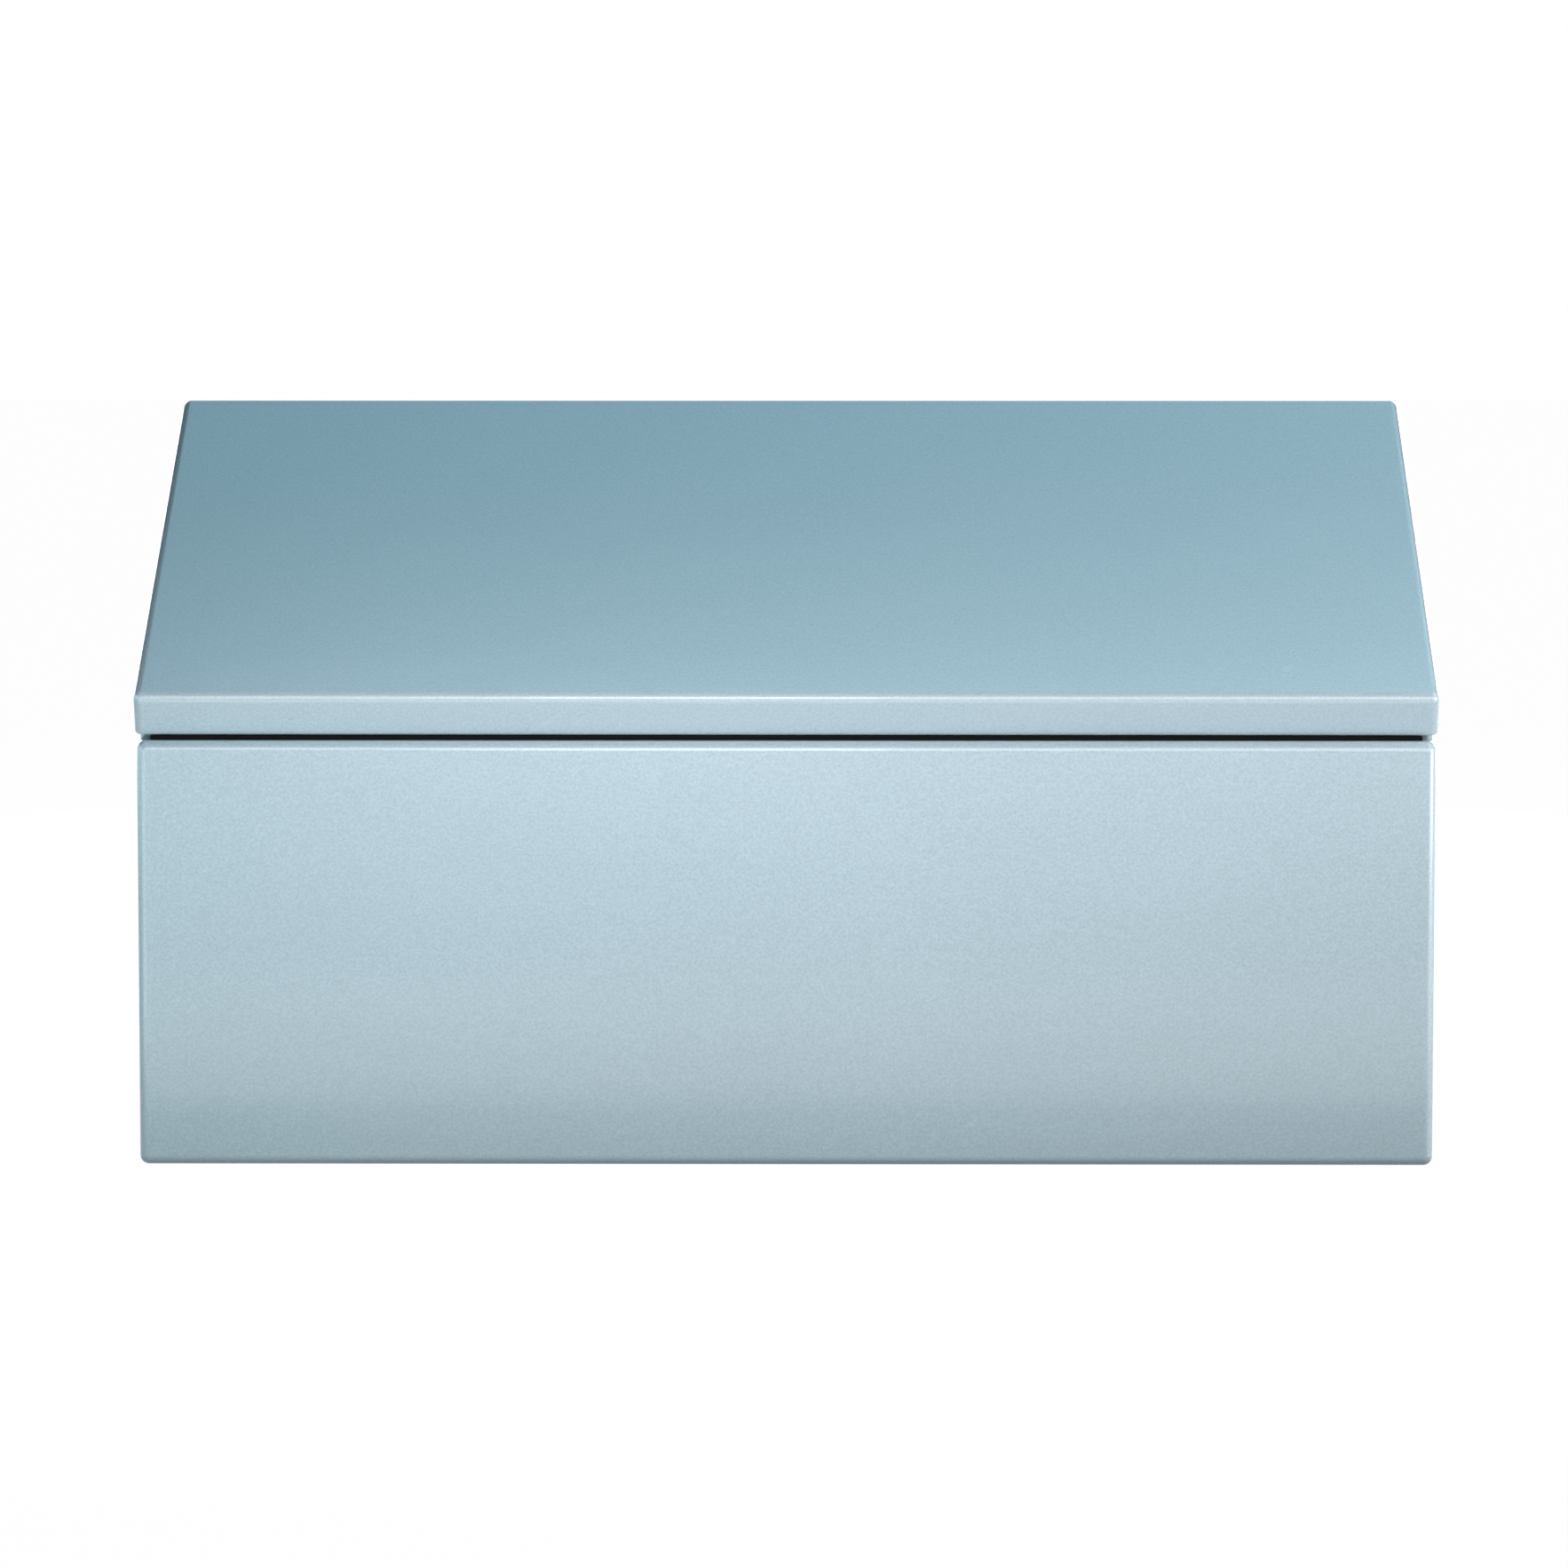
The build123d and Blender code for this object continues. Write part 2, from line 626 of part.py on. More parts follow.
pieces = {
    "case_wrap": case_wrap.part,
    "back_panel": back_panel.part,
    "bottom_panel": bottom_panel.part,
    "back_rivets": back_rivets,
    "bottom_rivets": bottom_rivets,
    "hinge_rivets": hinge_rivet_group,
    "stay_bracket_rivets": bracket_rivets,
    "book_pad": book_pad.part,
    "front_seal": front_seal.part,
    "lid_shell": lid_shell.part,
    "lid_stiffener": lid_stiffener.part,
    "hinge_case_leaf": hinge_case_leaf.part,
    "hinge_lid_leaf": hinge_lid_leaf.part,
    "hinge_pin": hinge_pin.part,
}
right_hand = {
    "side_seal": side_seal.part,
    "stay_case_bracket": stay_case_bracket.part,
    "stay_lid_bracket": stay_lid_bracket.part,
    "stay_lower_arm": stay_lower_arm,
    "stay_upper_arm": stay_upper_arm,
    "stay_case_pivot": stay_case_pivot,
    "stay_lid_pivot": stay_lid_pivot,
    "stay_knuckle_pivot": stay_knuckle_pivot,
    "stay_case_washer": stay_case_washer,
    "stay_lid_washer": stay_lid_washer,
    "stay_knuckle_washer": stay_knuckle_washer,
}
for name, piece in right_hand.items():
    pieces[name + "_right"] = piece
    pieces[name + "_left"] = mirrored(piece)

os.makedirs("parts", exist_ok=True)
for name, piece in pieces.items():
    piece.label = name
    export_step(piece, f"parts/{name}.step")
print("lid length", round(lid_length, 2), "hinge axis", round(hinge_y, 3), round(hinge_z, 3))
print("lid pivot", lid_pivot, "case pivot", case_pivot)
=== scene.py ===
import math

import bmesh
import bpy
import numpy as np
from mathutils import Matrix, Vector


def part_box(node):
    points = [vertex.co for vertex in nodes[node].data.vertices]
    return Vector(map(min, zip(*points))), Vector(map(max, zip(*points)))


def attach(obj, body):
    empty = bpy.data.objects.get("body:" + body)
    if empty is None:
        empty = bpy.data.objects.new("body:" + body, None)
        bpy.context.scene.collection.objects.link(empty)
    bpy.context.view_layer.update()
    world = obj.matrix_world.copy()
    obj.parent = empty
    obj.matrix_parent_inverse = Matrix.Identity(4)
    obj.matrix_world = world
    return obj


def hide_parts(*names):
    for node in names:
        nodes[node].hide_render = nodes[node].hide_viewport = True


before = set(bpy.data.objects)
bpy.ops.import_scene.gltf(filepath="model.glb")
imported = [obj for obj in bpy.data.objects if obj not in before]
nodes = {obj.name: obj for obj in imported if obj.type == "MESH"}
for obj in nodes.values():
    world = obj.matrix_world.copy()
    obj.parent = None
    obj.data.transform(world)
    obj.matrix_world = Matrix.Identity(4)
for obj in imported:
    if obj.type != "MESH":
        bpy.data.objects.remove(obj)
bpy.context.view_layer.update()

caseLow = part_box("case_wrap")[0]
padLow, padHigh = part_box("book_pad")
stiffenerLow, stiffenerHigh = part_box("lid_stiffener")
mm = 0.001
print("frame loaded with", len(nodes), "nodes")


# Node tree helpers

def addNode(tree, kind, inputs=None, **settings):
    node = tree.nodes.new(kind)
    for name, value in settings.items():
        setattr(node, name, value)
    for name, value in (inputs or {}).items():
        socket = node.inputs[name]
        if isinstance(value, bpy.types.NodeSocket):
            tree.links.new(value, socket)
        else:
            socket.default_value = value
    return node


def math2(tree, operation, first, second=0.0, clamp=False):
    node = addNode(tree, "ShaderNodeMath", {0: first, 1: second}, operation=operation, use_clamp=clamp)
    return node.outputs["Value"]


def ramp(tree, value, low, high, toLow=0.0, toHigh=1.0):
    inputs = {"Value": value, "From Min": low, "From Max": high, "To Min": toLow, "To Max": toHigh}
    return addNode(tree, "ShaderNodeMapRange", inputs, clamp=True).outputs["Result"]


def mixColour(tree, amount, first, second):
    inputs = {"Factor": amount, 6: first, 7: second}  # the node's colour sockets are its seventh and eighth
    return addNode(tree, "ShaderNodeMix", inputs, data_type="RGBA").outputs[2]


def noise(tree, position, scale, detail=2.0, roughness=0.5):
    inputs = {"Vector": position, "Scale": scale, "Detail": detail, "Roughness": roughness}
    return addNode(tree, "ShaderNodeTexNoise", inputs).outputs["Fac"]


def startGroup(name, inputs, outputs):
    # Each input has its value to start from: one number makes a Float, three a Vector and four a Color
    group = bpy.data.node_groups.new(name, "ShaderNodeTree")
    for label, value in inputs.items():
        kind = {1: "Float", 3: "Vector", 4: "Color"}[np.size(value)]
        socket = group.interface.new_socket(label, in_out="INPUT", socket_type="NodeSocket" + kind)
        socket.default_value = value
    for label, kind in outputs.items():
        group.interface.new_socket(label, in_out="OUTPUT", socket_type="NodeSocket" + kind)
    given = group.nodes.new("NodeGroupInput").outputs
    result = group.nodes.new("NodeGroupOutput").inputs
    return group, given, result


def useGroup(tree, group, inputs):
    return addNode(tree, "ShaderNodeGroup", inputs, node_tree=group).outputs


def startMaterial(name):
    material = bpy.data.materials.new(name)
    material.use_nodes = True
    tree = material.node_tree
    shader = tree.nodes["Principled BSDF"]
    place = tree.nodes.new("ShaderNodeTexCoord").outputs
    return material, tree, shader, place["Object"], place["Normal"]


def perMillimetre(tree, size):
    # Texture scale of a pattern whose grains are size millimetres across
    return math2(tree, "DIVIDE", 1000.0, size)


# Shared effects

def makePeelGroup():
    # Sprayed skin: broad soft ripples plus a finer grain, as one height
    inputs = {"Position": (0, 0, 0), "Ripple": 2.0, "Grain": 0.5, "Grain share": 0.3}
    group, given, result = startGroup("sprayedPeel", inputs, {"Height": "Float"})
    broad = noise(group, given["Position"], perMillimetre(group, given["Ripple"]), 1.0, 0.4)
    fine = noise(group, given["Position"], perMillimetre(group, given["Grain"]), 2.0, 0.6)
    mix = {"Factor": given["Grain share"], 2: broad, 3: fine}  # the node's number sockets
    height = addNode(group, "ShaderNodeMix", mix, data_type="FLOAT")
    group.links.new(height.outputs[0], result["Height"])
    return group


def makeToneGroup():
    # Slow drift of a colour plus fine speckle, both lighter and darker than the base
    inputs = {"Position": (0, 0, 0), "Base": (0.5, 0.5, 0.5, 1), "Cloud": 90.0, "Drift": 0.06, "Speck": 0.8,
              "Grain": 0.05}
    group, given, result = startGroup("toneDrift", inputs, {"Color": "Color", "Cloud": "Float"})
    cloud = noise(group, given["Position"], perMillimetre(group, given["Cloud"]), 3.0, 0.55)
    speck = noise(group, given["Position"], perMillimetre(group, given["Speck"]), 1.0, 0.5)
    slow = math2(group, "MULTIPLY", math2(group, "SUBTRACT", cloud, 0.5), given["Drift"])
    fast = math2(group, "MULTIPLY", math2(group, "SUBTRACT", speck, 0.5), given["Grain"])
    gain = math2(group, "ADD", math2(group, "ADD", slow, fast), 1.0)
    tone = addNode(group, "ShaderNodeVectorMath", {0: given["Base"], "Scale": gain}, operation="SCALE")
    group.links.new(tone.outputs["Vector"], result["Color"])
    group.links.new(cloud, result["Cloud"])
    return group


def makeSpeckGroup():
    # Rare round specks: a few cells of a cell pattern, each with a dot at its middle
    inputs = {"Position": (0, 0, 0), "Spacing": 12.0, "Size": 0.08, "Share": 0.1}
    group, given, result = startGroup("rareSpecks", inputs, {"Mask": "Float"})
    scale = perMillimetre(group, given["Spacing"])
    cells = addNode(group, "ShaderNodeTexVoronoi", {"Vector": given["Position"], "Scale": scale})
    dot = math2(group, "LESS_THAN", cells.outputs["Distance"], given["Size"])
    pick = addNode(group, "ShaderNodeSeparateColor", {"Color": cells.outputs["Color"]}).outputs["Red"]
    chosen = math2(group, "LESS_THAN", pick, given["Share"])
    group.links.new(math2(group, "MULTIPLY", dot, chosen), result["Mask"])
    return group


def makeEdgeGroup():
    # How far a rounded normal turns away from the true one: 1 on sharp edges and 0 on flats
    inputs = {"Radius": 0.8 * mm, "Width": 0.25}
    group, given, result = startGroup("edgeRub", inputs, {"Mask": "Float"})
    rounded = addNode(group, "ShaderNodeBevel", {"Radius": given["Radius"]}, samples=6)
    true = addNode(group, "ShaderNodeNewGeometry")
    normals = {0: rounded.outputs["Normal"], 1: true.outputs["Normal"]}
    dot = addNode(group, "ShaderNodeVectorMath", normals, operation="DOT_PRODUCT")
    turned = math2(group, "SUBTRACT", 1.0, dot.outputs["Value"])
    group.links.new(ramp(group, turned, 0.01, given["Width"]), result["Mask"])
    return group


def makeBrushGroup():
    # Drawn lines along X of the given position: noise squeezed across and stretched along
    inputs = {"Position": (0, 0, 0), "Line": 0.25, "Stretch": 60.0}
    group, given, result = startGroup("drawnLines", inputs, {"Value": "Float"})
    along = math2(group, "DIVIDE", 1.0, given["Stretch"])
    squeeze = addNode(group, "ShaderNodeCombineXYZ", {"X": along, "Y": 1.0, "Z": 1.0})
    pair = {0: given["Position"], 1: squeeze.outputs["Vector"]}
    stretched = addNode(group, "ShaderNodeVectorMath", pair, operation="MULTIPLY")
    lines = noise(group, stretched.outputs["Vector"], perMillimetre(group, given["Line"]), 3.0, 0.7)
    group.links.new(lines, result["Value"])
    return group


def makeScratchGroup():
    # Sparse hair scratches: the crests of a long stretched noise, broken up by a coarse one
    inputs = {"Position": (0, 0, 0), "Spacing": 4.0, "Turn": 0.5, "Share": 0.3}
    group, given, result = startGroup("hairScratches", inputs, {"Mask": "Float"})
    alongScratch, hairWidth, patchesPerMetre, fewest = 0.04, 0.004, 22.0, 0.4
    turned = {"Vector": given["Position"], "Angle": given["Turn"], "Axis": (0.3, 0.8, 0.5)}
    spin = addNode(group, "ShaderNodeVectorRotate", turned).outputs["Vector"]
    pair = {0: spin, 1: (alongScratch, 1.0, 1.0)}
    squeeze = addNode(group, "ShaderNodeVectorMath", pair, operation="MULTIPLY")
    crest = noise(group, squeeze.outputs["Vector"], perMillimetre(group, given["Spacing"]), 0.0)
    line = ramp(group, math2(group, "ABSOLUTE", math2(group, "SUBTRACT", crest, 0.5)), hairWidth, 0.0)
    patch = noise(group, given["Position"], patchesPerMetre, 1.0)
    keep = math2(group, "LESS_THAN", patch, math2(group, "MULTIPLY_ADD", given["Share"], fewest))
    group.links.new(math2(group, "MULTIPLY", line, keep), result["Mask"])
    return group


def makeDustGroup():
    # Thin dust on what faces up, gathered in soft clouds
    inputs = {"Position": (0, 0, 0), "Facing": (0, 0, 1), "Cloud": 35.0, "Amount": 0.2}
    group, given, result = startGroup("settledDust", inputs, {"Mask": "Float"})
    up = addNode(group, "ShaderNodeSeparateXYZ", {"Vector": given["Facing"]}).outputs["Z"]
    flat = ramp(group, up, 0.5, 0.95)
    clouds = noise(group, given["Position"], perMillimetre(group, given["Cloud"]), 5.0, 0.65)
    grainSize = 0.7
    grains = noise(group, given["Position"], perMillimetre(group, grainSize), 2.0, 0.7)
    veil = math2(group, "MULTIPLY", flat, ramp(group, clouds, 0.35, 0.75))
    thinned = math2(group, "MULTIPLY", ramp(group, grains, 0.4, 0.7, 0.5, 1.0), given["Amount"])
    group.links.new(math2(group, "MULTIPLY", veil, thinned), result["Mask"])
    return group


def makeWeldGroup():
    # A row of round spot welds: distance to the nearest point of a row, as a soft-edged disc
    inputs = {"Along": 0.0, "Across": 0.0, "Pitch": 40 * mm, "Radius": 2.5 * mm}
    group, given, result = startGroup("spotWelds", inputs, {"Mask": "Float"})
    half = math2(group, "MULTIPLY", given["Pitch"], 0.5)
    step = math2(group, "PINGPONG", given["Along"], half)
    alongSquare = math2(group, "POWER", step, 2.0)
    acrossSquare = math2(group, "POWER", given["Across"], 2.0)
    reach = math2(group, "SQRT", math2(group, "ADD", alongSquare, acrossSquare))
    inner = math2(group, "MULTIPLY", given["Radius"], 0.75)
    group.links.new(ramp(group, reach, given["Radius"], inner), result["Mask"])
    return group


peel = makePeelGroup()
toneDrift = makeToneGroup()
rareSpecks = makeSpeckGroup()
edgeRub = makeEdgeGroup()
drawnLines = makeBrushGroup()
hairScratches = makeScratchGroup()
settledDust = makeDustGroup()
spotWelds = makeWeldGroup()
print("shared effects ready")


# Paint

paintLook = {
    "colour": (0.300, 0.417, 0.487, 1),
    "roughness": 0.36,
    "coat": 0.75,  # clear glossy skin over the colour
    "coatRoughness": 0.11,
    "drift": 0.05,  # slow change of tone, as a share of the colour
    "grain": 0.40,  # fine speckle, as a share of the colour
    "grainSize": 1.1,  # millimetres
    "ripple": 2.2,  # millimetres between ripples of the sprayed skin
    "rippleDepth": 5e-6,  # metres
    "cloud": 110.0,  # millimetres
    "speckSpacing": 22.0,
    "speckShare": 0.10,
    "speckColour": (0.72, 0.78, 0.80, 1),
    "speckShow": 0.35,
    "scratchShow": 0.25,
    "scratchMatt": 0.12,  # added roughness
    "dustMatt": 0.5,
    "edgeLight": 0.10,  # how far sharp edges go to the thin-paint colour
    "edgeColour": (0.47, 0.57, 0.62, 1),
    "dustColour": (0.62, 0.64, 0.64, 1),
}


def makePaint(name, look, dust, scratches, welds=None):
    material, tree, shader, position, facing = startMaterial(name)
    tone = useGroup(tree, toneDrift, {
        "Position": position, "Base": look["colour"], "Cloud": look["cloud"], "Drift": look["drift"],
        "Speck": look["grainSize"], "Grain": look["grain"]})
    speck = useGroup(tree, rareSpecks, {
        "Position": position, "Spacing": look["speckSpacing"], "Size": 0.018,
        "Share": look["speckShare"]})["Mask"]
    edge = useGroup(tree, edgeRub, {"Radius": 0.7 * mm, "Width": 0.3})["Mask"]
    veil = useGroup(tree, settledDust, {
        "Position": position, "Facing": facing, "Cloud": 45.0, "Amount": dust})["Mask"]
    scratch = useGroup(tree, hairScratches, {
        "Position": position, "Spacing": 9.0, "Turn": 0.7, "Share": scratches})["Mask"]
    specks = math2(tree, "MULTIPLY", speck, look["speckShow"])
    rubbed = math2(tree, "MULTIPLY", edge, look["edgeLight"])
    scratched = math2(tree, "MULTIPLY", scratch, look["scratchShow"])
    colour = mixColour(tree, specks, tone["Color"], look["speckColour"])
    colour = mixColour(tree, rubbed, colour, look["edgeColour"])
    colour = mixColour(tree, scratched, colour, look["edgeColour"])
    colour = mixColour(tree, veil, colour, look["dustColour"])
    tree.links.new(colour, shader.inputs["Base Color"])
    gloss = ramp(tree, tone["Cloud"], 0.25, 0.75, look["roughness"] - 0.02, look["roughness"] + 0.03)
    gloss = math2(tree, "ADD", gloss, math2(tree, "MULTIPLY", veil, look["dustMatt"]))
    gloss = math2(tree, "ADD", gloss, math2(tree, "MULTIPLY", scratch, look["scratchMatt"]), clamp=True)
    tree.links.new(gloss, shader.inputs["Roughness"])
    height = useGroup(tree, peel, {
        "Position": position, "Ripple": look["ripple"], "Grain": 0.55, "Grain share": 0.25})["Height"]
    skin = addNode(tree, "ShaderNodeBump", {
        "Height": height, "Distance": look["rippleDepth"], "Strength": 1.0})
    if welds:
        dent = {"Height": welds(tree, position), "Distance": weldLook["depth"], "Strength": 1.0,
                "Normal": skin.outputs["Normal"]}
        skin = addNode(tree, "ShaderNodeBump", dent, invert=True)
    tree.links.new(skin.outputs["Normal"], shader.inputs["Normal"])
    shader.inputs["Specular IOR Level"].default_value = 0.5
    shader.inputs["Coat Weight"].default_value = look["coat"]
    shader.inputs["Coat Roughness"].default_value = look["coatRoughness"]
    return material


# Spot welds run along the stiffener's two flanges, found by turning the position into the lid's slope
weldLook = {"lean": 26.0, "flangeRun": 19.0 * mm, "pitch": 40.0 * mm, "radius": 2.6 * mm, "depth": 0.12 * mm}


def stiffenerWelds(tree, position):
    middle = (stiffenerLow + stiffenerHigh) / 2
    centred = addNode(tree, "ShaderNodeVectorMath", {0: position, 1: tuple(middle)}, operation="SUBTRACT")
    level = addNode(tree, "ShaderNodeVectorRotate", {
        "Vector": centred.outputs["Vector"], "Angle": -math.radians(weldLook["lean"]), "Axis": (1, 0, 0)})
    parts = addNode(tree, "ShaderNodeSeparateXYZ", {"Vector": level.outputs["Vector"]})
    across = math2(tree, "SUBTRACT", math2(tree, "ABSOLUTE", parts.outputs["Y"]), weldLook["flangeRun"])
    return useGroup(tree, spotWelds, {
        "Along": parts.outputs["X"], "Across": across, "Pitch": weldLook["pitch"],
        "Radius": weldLook["radius"]})["Mask"]


casePaint = makePaint("casePaint", paintLook, dust=0.0, scratches=0.0)
lidPaint = makePaint("lidPaint", paintLook, dust=0.05, scratches=0.0)
panelPaint = makePaint("panelPaint", paintLook, dust=0.12, scratches=0.35)
stiffenerPaint = makePaint("stiffenerPaint", paintLook, dust=0.0, scratches=0.1, welds=stiffenerWelds)


# Plated and bare metal

metalLook = {
    "hingeZinc": {
        "colour": (0.50, 0.51, 0.51, 1), "tint": (0.40, 0.43, 0.47, 1), "roughness": 0.34, "line": 0.18,
        "stretch": 80.0},
    "stayZinc": {
        "colour": (0.66, 0.66, 0.64, 1), "tint": (0.60, 0.62, 0.68, 1), "roughness": 0.28, "line": 0.3,
        "stretch": 30.0},
    "pivotSteel": {
        "colour": (0.56, 0.56, 0.55, 1), "tint": (0.46, 0.46, 0.46, 1), "roughness": 0.22, "line": 0.12,
        "stretch": 6.0},
    "rivetAluminium": {
        "colour": (0.50, 0.52, 0.54, 1), "tint": (0.38, 0.40, 0.42, 1), "roughness": 0.42, "line": 0.15,
        "stretch": 4.0},
}
metalWear = {
    "cloud": 14.0,  # millimetres
    "drift": 0.22,
    "speck": 0.4,
    "grain": 0.06,
    "edgeShow": 0.35,
    "edgeColour": (0.86, 0.86, 0.85, 1),
    "edgePolish": 0.08,  # taken off the roughness
    "scratchMatt": 0.15,  # added roughness
    "scratchDepth": -0.6,  # as a share of a drawn line's height
    "lineDepth": 4e-6,  # metres
}


def makeMetal(name):
    look = metalLook[name]
    material, tree, shader, position, _ = startMaterial(name)
    lines = useGroup(tree, drawnLines, {
        "Position": position, "Line": look["line"], "Stretch": look["stretch"]})["Value"]
    tone = useGroup(tree, toneDrift, {
        "Position": position, "Base": look["colour"], "Cloud": metalWear["cloud"],
        "Drift": metalWear["drift"], "Speck": metalWear["speck"], "Grain": metalWear["grain"]})
    edge = useGroup(tree, edgeRub, {"Radius": 0.4 * mm, "Width": 0.35})["Mask"]
    scratch = useGroup(tree, hairScratches, {
        "Position": position, "Spacing": 3.0, "Turn": 1.1, "Share": 0.6})["Mask"]
    colour = mixColour(tree, ramp(tree, tone["Cloud"], 0.35, 0.7), tone["Color"], look["tint"])
    bright = math2(tree, "MULTIPLY", edge, metalWear["edgeShow"])
    colour = mixColour(tree, bright, colour, metalWear["edgeColour"])
    tree.links.new(colour, shader.inputs["Base Color"])
    gloss = ramp(tree, lines, 0.3, 0.7, look["roughness"] - 0.08, look["roughness"] + 0.10)
    gloss = math2(tree, "SUBTRACT", gloss, math2(tree, "MULTIPLY", edge, metalWear["edgePolish"]))
    gloss = math2(tree, "ADD", gloss, math2(tree, "MULTIPLY", scratch, metalWear["scratchMatt"]), clamp=True)
    tree.links.new(gloss, shader.inputs["Roughness"])
    height = math2(tree, "ADD", lines, math2(tree, "MULTIPLY", scratch, metalWear["scratchDepth"]))
    skin = addNode(tree, "ShaderNodeBump", {
        "Height": height, "Distance": metalWear["lineDepth"], "Strength": 1.0})
    tree.links.new(skin.outputs["Normal"], shader.inputs["Normal"])
    shader.inputs["Metallic"].default_value = 1.0
    return material


hingeZinc = makeMetal("hingeZinc")
stayZinc = makeMetal("stayZinc")
pivotSteel = makeMetal("pivotSteel")
rivetAluminium = makeMetal("rivetAluminium")


# Rubber, foam and nylon

softLook = {
    # the front seal is rubber, and its near-black colour also stands in for painted shade in the gap under
    # the lid's lip
    "sealRubberAndGapShade": {
        "colour": (0.004, 0.004, 0.0045, 1), "roughness": 0.7, "ripple": 1.5, "grain": 0.25, "depth": 2.5e-5,
        "shine": 0.05},
    "sealFoam": {
        "colour": (0.020, 0.021, 0.022, 1), "roughness": 0.85, "ripple": 2.5, "grain": 0.45, "depth": 1.6e-4,
        "shine": 0.2},
    "washerNylon": {
        "colour": (0.78, 0.76, 0.70, 1), "roughness": 0.42, "ripple": 1.2, "grain": 0.3, "depth": 1.0e-5,
        "shine": 0.5},
}


def makeSoft(name, cells=False):
    look = softLook[name]
    material, tree, shader, position, facing = startMaterial(name)
    tone = useGroup(tree, toneDrift, {
        "Position": position, "Base": look["colour"], "Cloud": 18.0, "Drift": 0.35, "Speck": 0.5,
        "Grain": 0.5})
    veil = useGroup(tree, settledDust, {
        "Position": position, "Facing": facing, "Cloud": 9.0, "Amount": 0.06})["Mask"]
    colour = mixColour(tree, veil, tone["Color"], (0.4, 0.4, 0.39, 1))
    height = useGroup(tree, peel, {
        "Position": position, "Ripple": look["ripple"], "Grain": look["grain"], "Grain share": 0.5})["Height"]
    if cells:  # open pores of cut foam: pits at the middle of a cell pattern, coloured near black as painted shade
        poresPerMetre = 1400.0
        foam = addNode(tree, "ShaderNodeTexVoronoi", {"Vector": position, "Scale": poresPerMetre})
        pores = foam.outputs["Distance"]
        height = math2(tree, "ADD", math2(tree, "MULTIPLY", height, 0.3), pores)
        # painted shade: the pore middles go near black, as if shade lay in the pits
        colour = mixColour(tree, ramp(tree, pores, 0.1, 0.45), (0.004, 0.004, 0.004, 1), colour)
    tree.links.new(colour, shader.inputs["Base Color"])
    gloss = ramp(tree, tone["Cloud"], 0.3, 0.7, look["roughness"] - 0.05, look["roughness"] + 0.08)
    tree.links.new(gloss, shader.inputs["Roughness"])
    skin = addNode(tree, "ShaderNodeBump", {"Height": height, "Distance": look["depth"], "Strength": 1.0})
    tree.links.new(skin.outputs["Normal"], shader.inputs["Normal"])
    shader.inputs["Specular IOR Level"].default_value = look["shine"]
    return material


# rubber seal whose near-black colour also serves as painted shade in the gap under the lid
sealRubberAndGapShade = makeSoft("sealRubberAndGapShade")
sealFoam = makeSoft("sealFoam", cells=True)
washerNylon = makeSoft("washerNylon")
washerNylon.node_tree.nodes["Principled BSDF"].inputs["Subsurface Weight"].default_value = 0.15


def paintNode(name, material):
    for slot in nodes[name].material_slots:
        slot.material = material


finishes = {
    "case_wrap": casePaint, "lid_shell": lidPaint, "back_panel": panelPaint, "bottom_panel": panelPaint,
    "lid_stiffener": stiffenerPaint, "hinge": hingeZinc, "rivets": rivetAluminium, "pivot": pivotSteel,
    "washer": washerNylon, "front_seal": sealRubberAndGapShade, "side_seal": sealFoam, "stay": stayZinc,
}
for nodeName in nodes:
    for word, material in finishes.items():  # the first word that the node's name holds names its finish
        if word in nodeName:
            paintNode(nodeName, material)
            break
paintNode("hinge_rivets", rivetAluminium)
paintNode("stay_bracket_rivets", rivetAluminium)
print("finishes on", len(nodes), "nodes")


# Book pad: felt over foam, bound at the rim and sewn into three fields

padLook = {
    "cornerCut": 24.0 * mm,
    "pullIn": 3.0 * mm,  # how far each side draws in between its corners
    "startHeight": 8.6 * mm,  # before it fills
    "grid": (61, 141),  # points across and along
    "rimReach": 7.0 * mm,  # how far in from the rim the top has risen
    "voxel": 5.0 * mm,
    "pressure": 4.0,
    "frames": 20,
    "mostSwell": 3.4 * mm,
    "channels": (-94 * mm, 94 * mm),
    "seamInset": 12.0 * mm,
    "channelWidth": 4.5 * mm,
    "channelDepth": 0.42,  # share of the height that a sewn line presses in
    "bookDent": 0.5 * mm,
    "dentWaves": (31.0, 27.0, 6.0),  # turns of the dents' waves in radians per metre: along, across, skew
    "dentStart": (1.3, 0.4),
    "bindingRadius": 2.1 * mm,
    "bindingSteps": 720,
    "bindingRib": 0.06,  # share of its radius
    "bindingRibPitch": 4.6 * mm,
    "stitch": 3.6 * mm,
    "stitchPitch": 5.2 * mm,
    "stitchMargin": 6.0 * mm,  # from the border to a channel's first stitch
    "threadRadius": 0.45 * mm,
    "threadSteps": 6,
    "threadRise": 1.3,  # radii above the felt at its middle
    "threadSink": 0.7,  # radii below it at its ends
    "feltReach": 1.6 * mm,  # width of the bell that finds the felt's height under a thread
    "felt": (0.135, 0.146, 0.156, 1),
    "feltLight": (0.27, 0.285, 0.30, 1),
    # colour of the painted shade laid along the sewn grooves
    "creaseShadeColour": (0.02, 0.022, 0.024, 1),
    "dustColour": (0.45, 0.45, 0.43, 1),
    "thread": (0.42, 0.46, 0.48, 1),
    "threadLight": (0.5, 0.54, 0.56, 1),
    "binding": (0.050, 0.056, 0.062, 1),
}
padMiddle = (padLow + padHigh) / 2
padHalf = (padHigh - padLow) / 2


def edgeDistance(x, y, look):
    # Least of the distances to the drawn-in sides and to the cut corners
    # Each side's draw is pullIn * (1 - t^2), with t from -1 to 1 along it
    halfX, halfY = padHalf.x, padHalf.y
    sideX = halfX - look["pullIn"] * (1 - (y / halfY) ** 2) - np.abs(x)
    sideY = halfY - look["pullIn"] * (1 - (x / halfX) ** 2) - np.abs(y)
    corner = (halfX + halfY - look["cornerCut"] - np.abs(x) - np.abs(y)) / math.sqrt(2)
    return np.minimum(np.minimum(sideX, sideY), corner)


